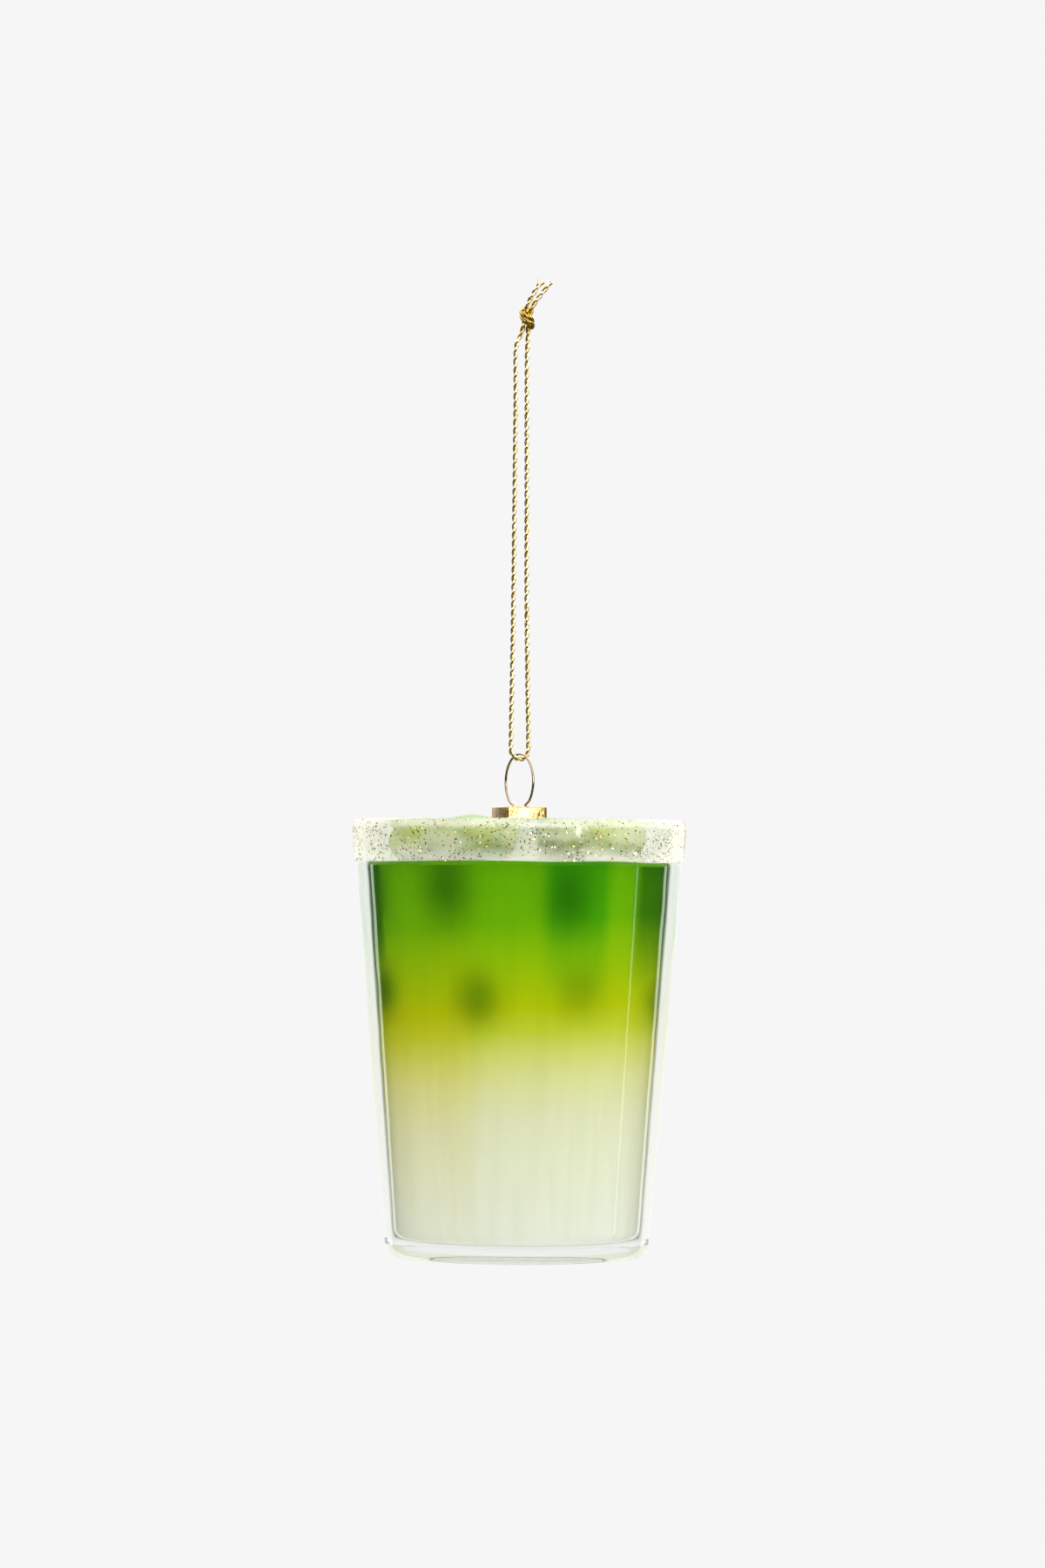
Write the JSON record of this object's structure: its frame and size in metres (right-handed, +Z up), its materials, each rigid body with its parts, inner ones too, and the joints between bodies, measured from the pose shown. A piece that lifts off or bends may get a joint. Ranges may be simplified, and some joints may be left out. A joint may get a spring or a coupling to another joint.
{
  "type": "iced latte ornament",
  "caption": "Hanging ornament shaped as an iced green latte in a clear tapered tumbler, with a frosted glitter rim, ice cubes, a square metal cap, a wire ring and a knotted metallic cord.",
  "frame": {"origin": "the hanging point, inside the cord's loop just under the knot", "axes": "+Z up along the cord and the tumbler's axis, -Y towards the viewer of the reference view, +X to that viewer's right"},
  "size_m": [0.0674, 0.0674, 0.1975],
  "materials": {
    "gold_cord": "metallic gold twist",
    "rose_gold_wire": "polished rose gold",
    "gold_cap": "polished gold plate",
    "clear_glass": "clear, fire-polished",
    "glitter_frost": "frosted coat with gold glitter",
    "blown_glass": "clear blown glass",
    "green_cream_lacquer": "gloss lacquer, green fading to cream",
    "clear_cement": "clear adhesive",
    "green_ice": "translucent cast acrylic"
  },
  "bodies": {
    "knot": {"cord_knot": "gold_cord", "cord_tail_left": "gold_cord", "cord_tail_right": "gold_cord"},
    "cord": {"cord_leg_left": "gold_cord", "cord_leg_right": "gold_cord", "cord_bight": "gold_cord"},
    "hanger": {"hanger_wire": "rose_gold_wire", "crown_cap": "gold_cap"},
    "drink": {"glass_tumbler": "clear_glass", "rim_glitter_band": "glitter_frost", "drink_vessel": "blown_glass", "drink_lacquer": "green_cream_lacquer", "cement_pad": "clear_cement", "ice_cube_1": "green_ice", "ice_cube_2": "green_ice", "ice_cube_3": "green_ice", "ice_cube_4": "green_ice", "ice_cube_5": "green_ice", "ice_cube_6": "green_ice"}
  },
  "joints": [
    {"name": "cord_swing", "type": "hinge", "parent": "knot", "child": "cord", "pos_m": [0, 0, 0], "axis": [0.866, 0.5, 0], "range_deg": [-60, 60]},
    {"name": "ring_swing", "type": "hinge", "parent": "cord", "child": "hanger", "pos_m": [0, 0, -0.08465], "axis": [0.5, -0.866, 0], "range_deg": [-75, 75]},
    {"name": "neck_pull", "type": "slide", "parent": "hanger", "child": "drink", "axis": [0, 0, -1], "range_m": [0, 0.03]}
  ]
}
